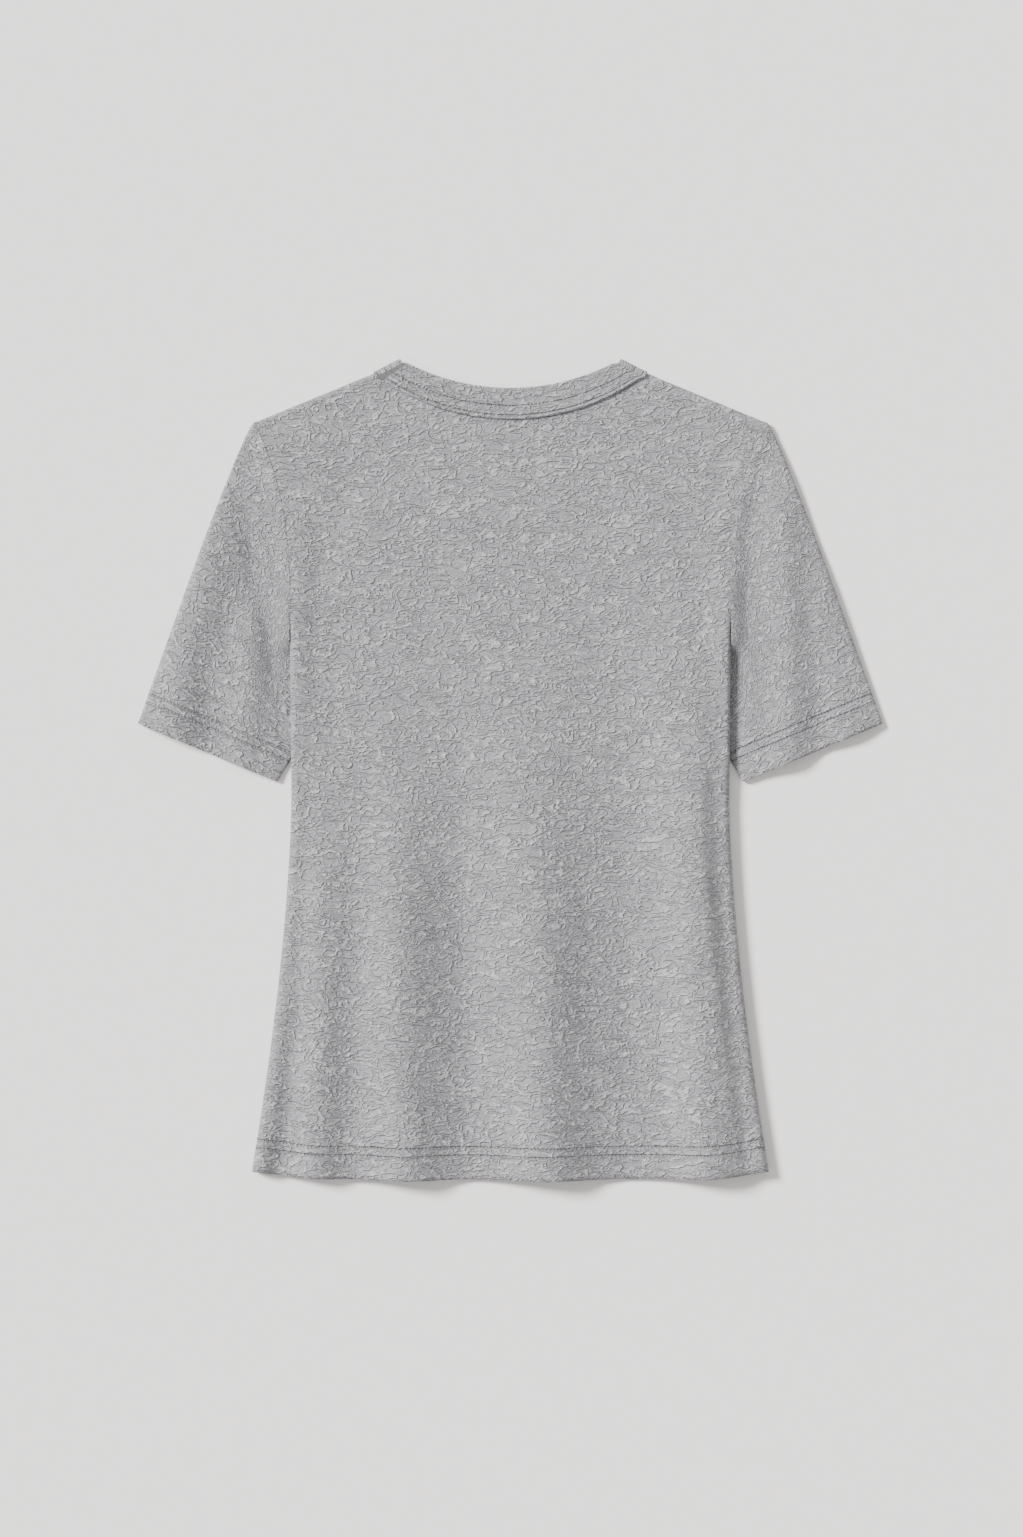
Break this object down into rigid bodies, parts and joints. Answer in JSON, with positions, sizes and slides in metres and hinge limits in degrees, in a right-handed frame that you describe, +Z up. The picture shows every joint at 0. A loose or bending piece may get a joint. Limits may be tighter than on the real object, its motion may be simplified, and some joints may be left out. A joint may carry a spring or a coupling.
{
  "type": "v-neck t-shirt",
  "caption": "Short-sleeved v-neck t-shirt in heathered grey textured jersey, laid flat with its back up.",
  "frame": {"origin": "on the surface the shirt lies on, under the middle of its outline", "axes": "+Z up from the surface, +Y towards the neck, +X to the right seen from above"},
  "size_m": [0.5718, 0.6293, 0.015],
  "materials": {
    "cloth": "matte heathered grey textured jersey",
    "rib": "matte heathered grey textured jersey, folded double"
  },
  "bodies": {
    "root": {"front": "cloth", "back": "cloth", "sleeve_left": "cloth", "sleeve_right": "cloth", "neckband": "rib"}
  },
  "joints": []
}
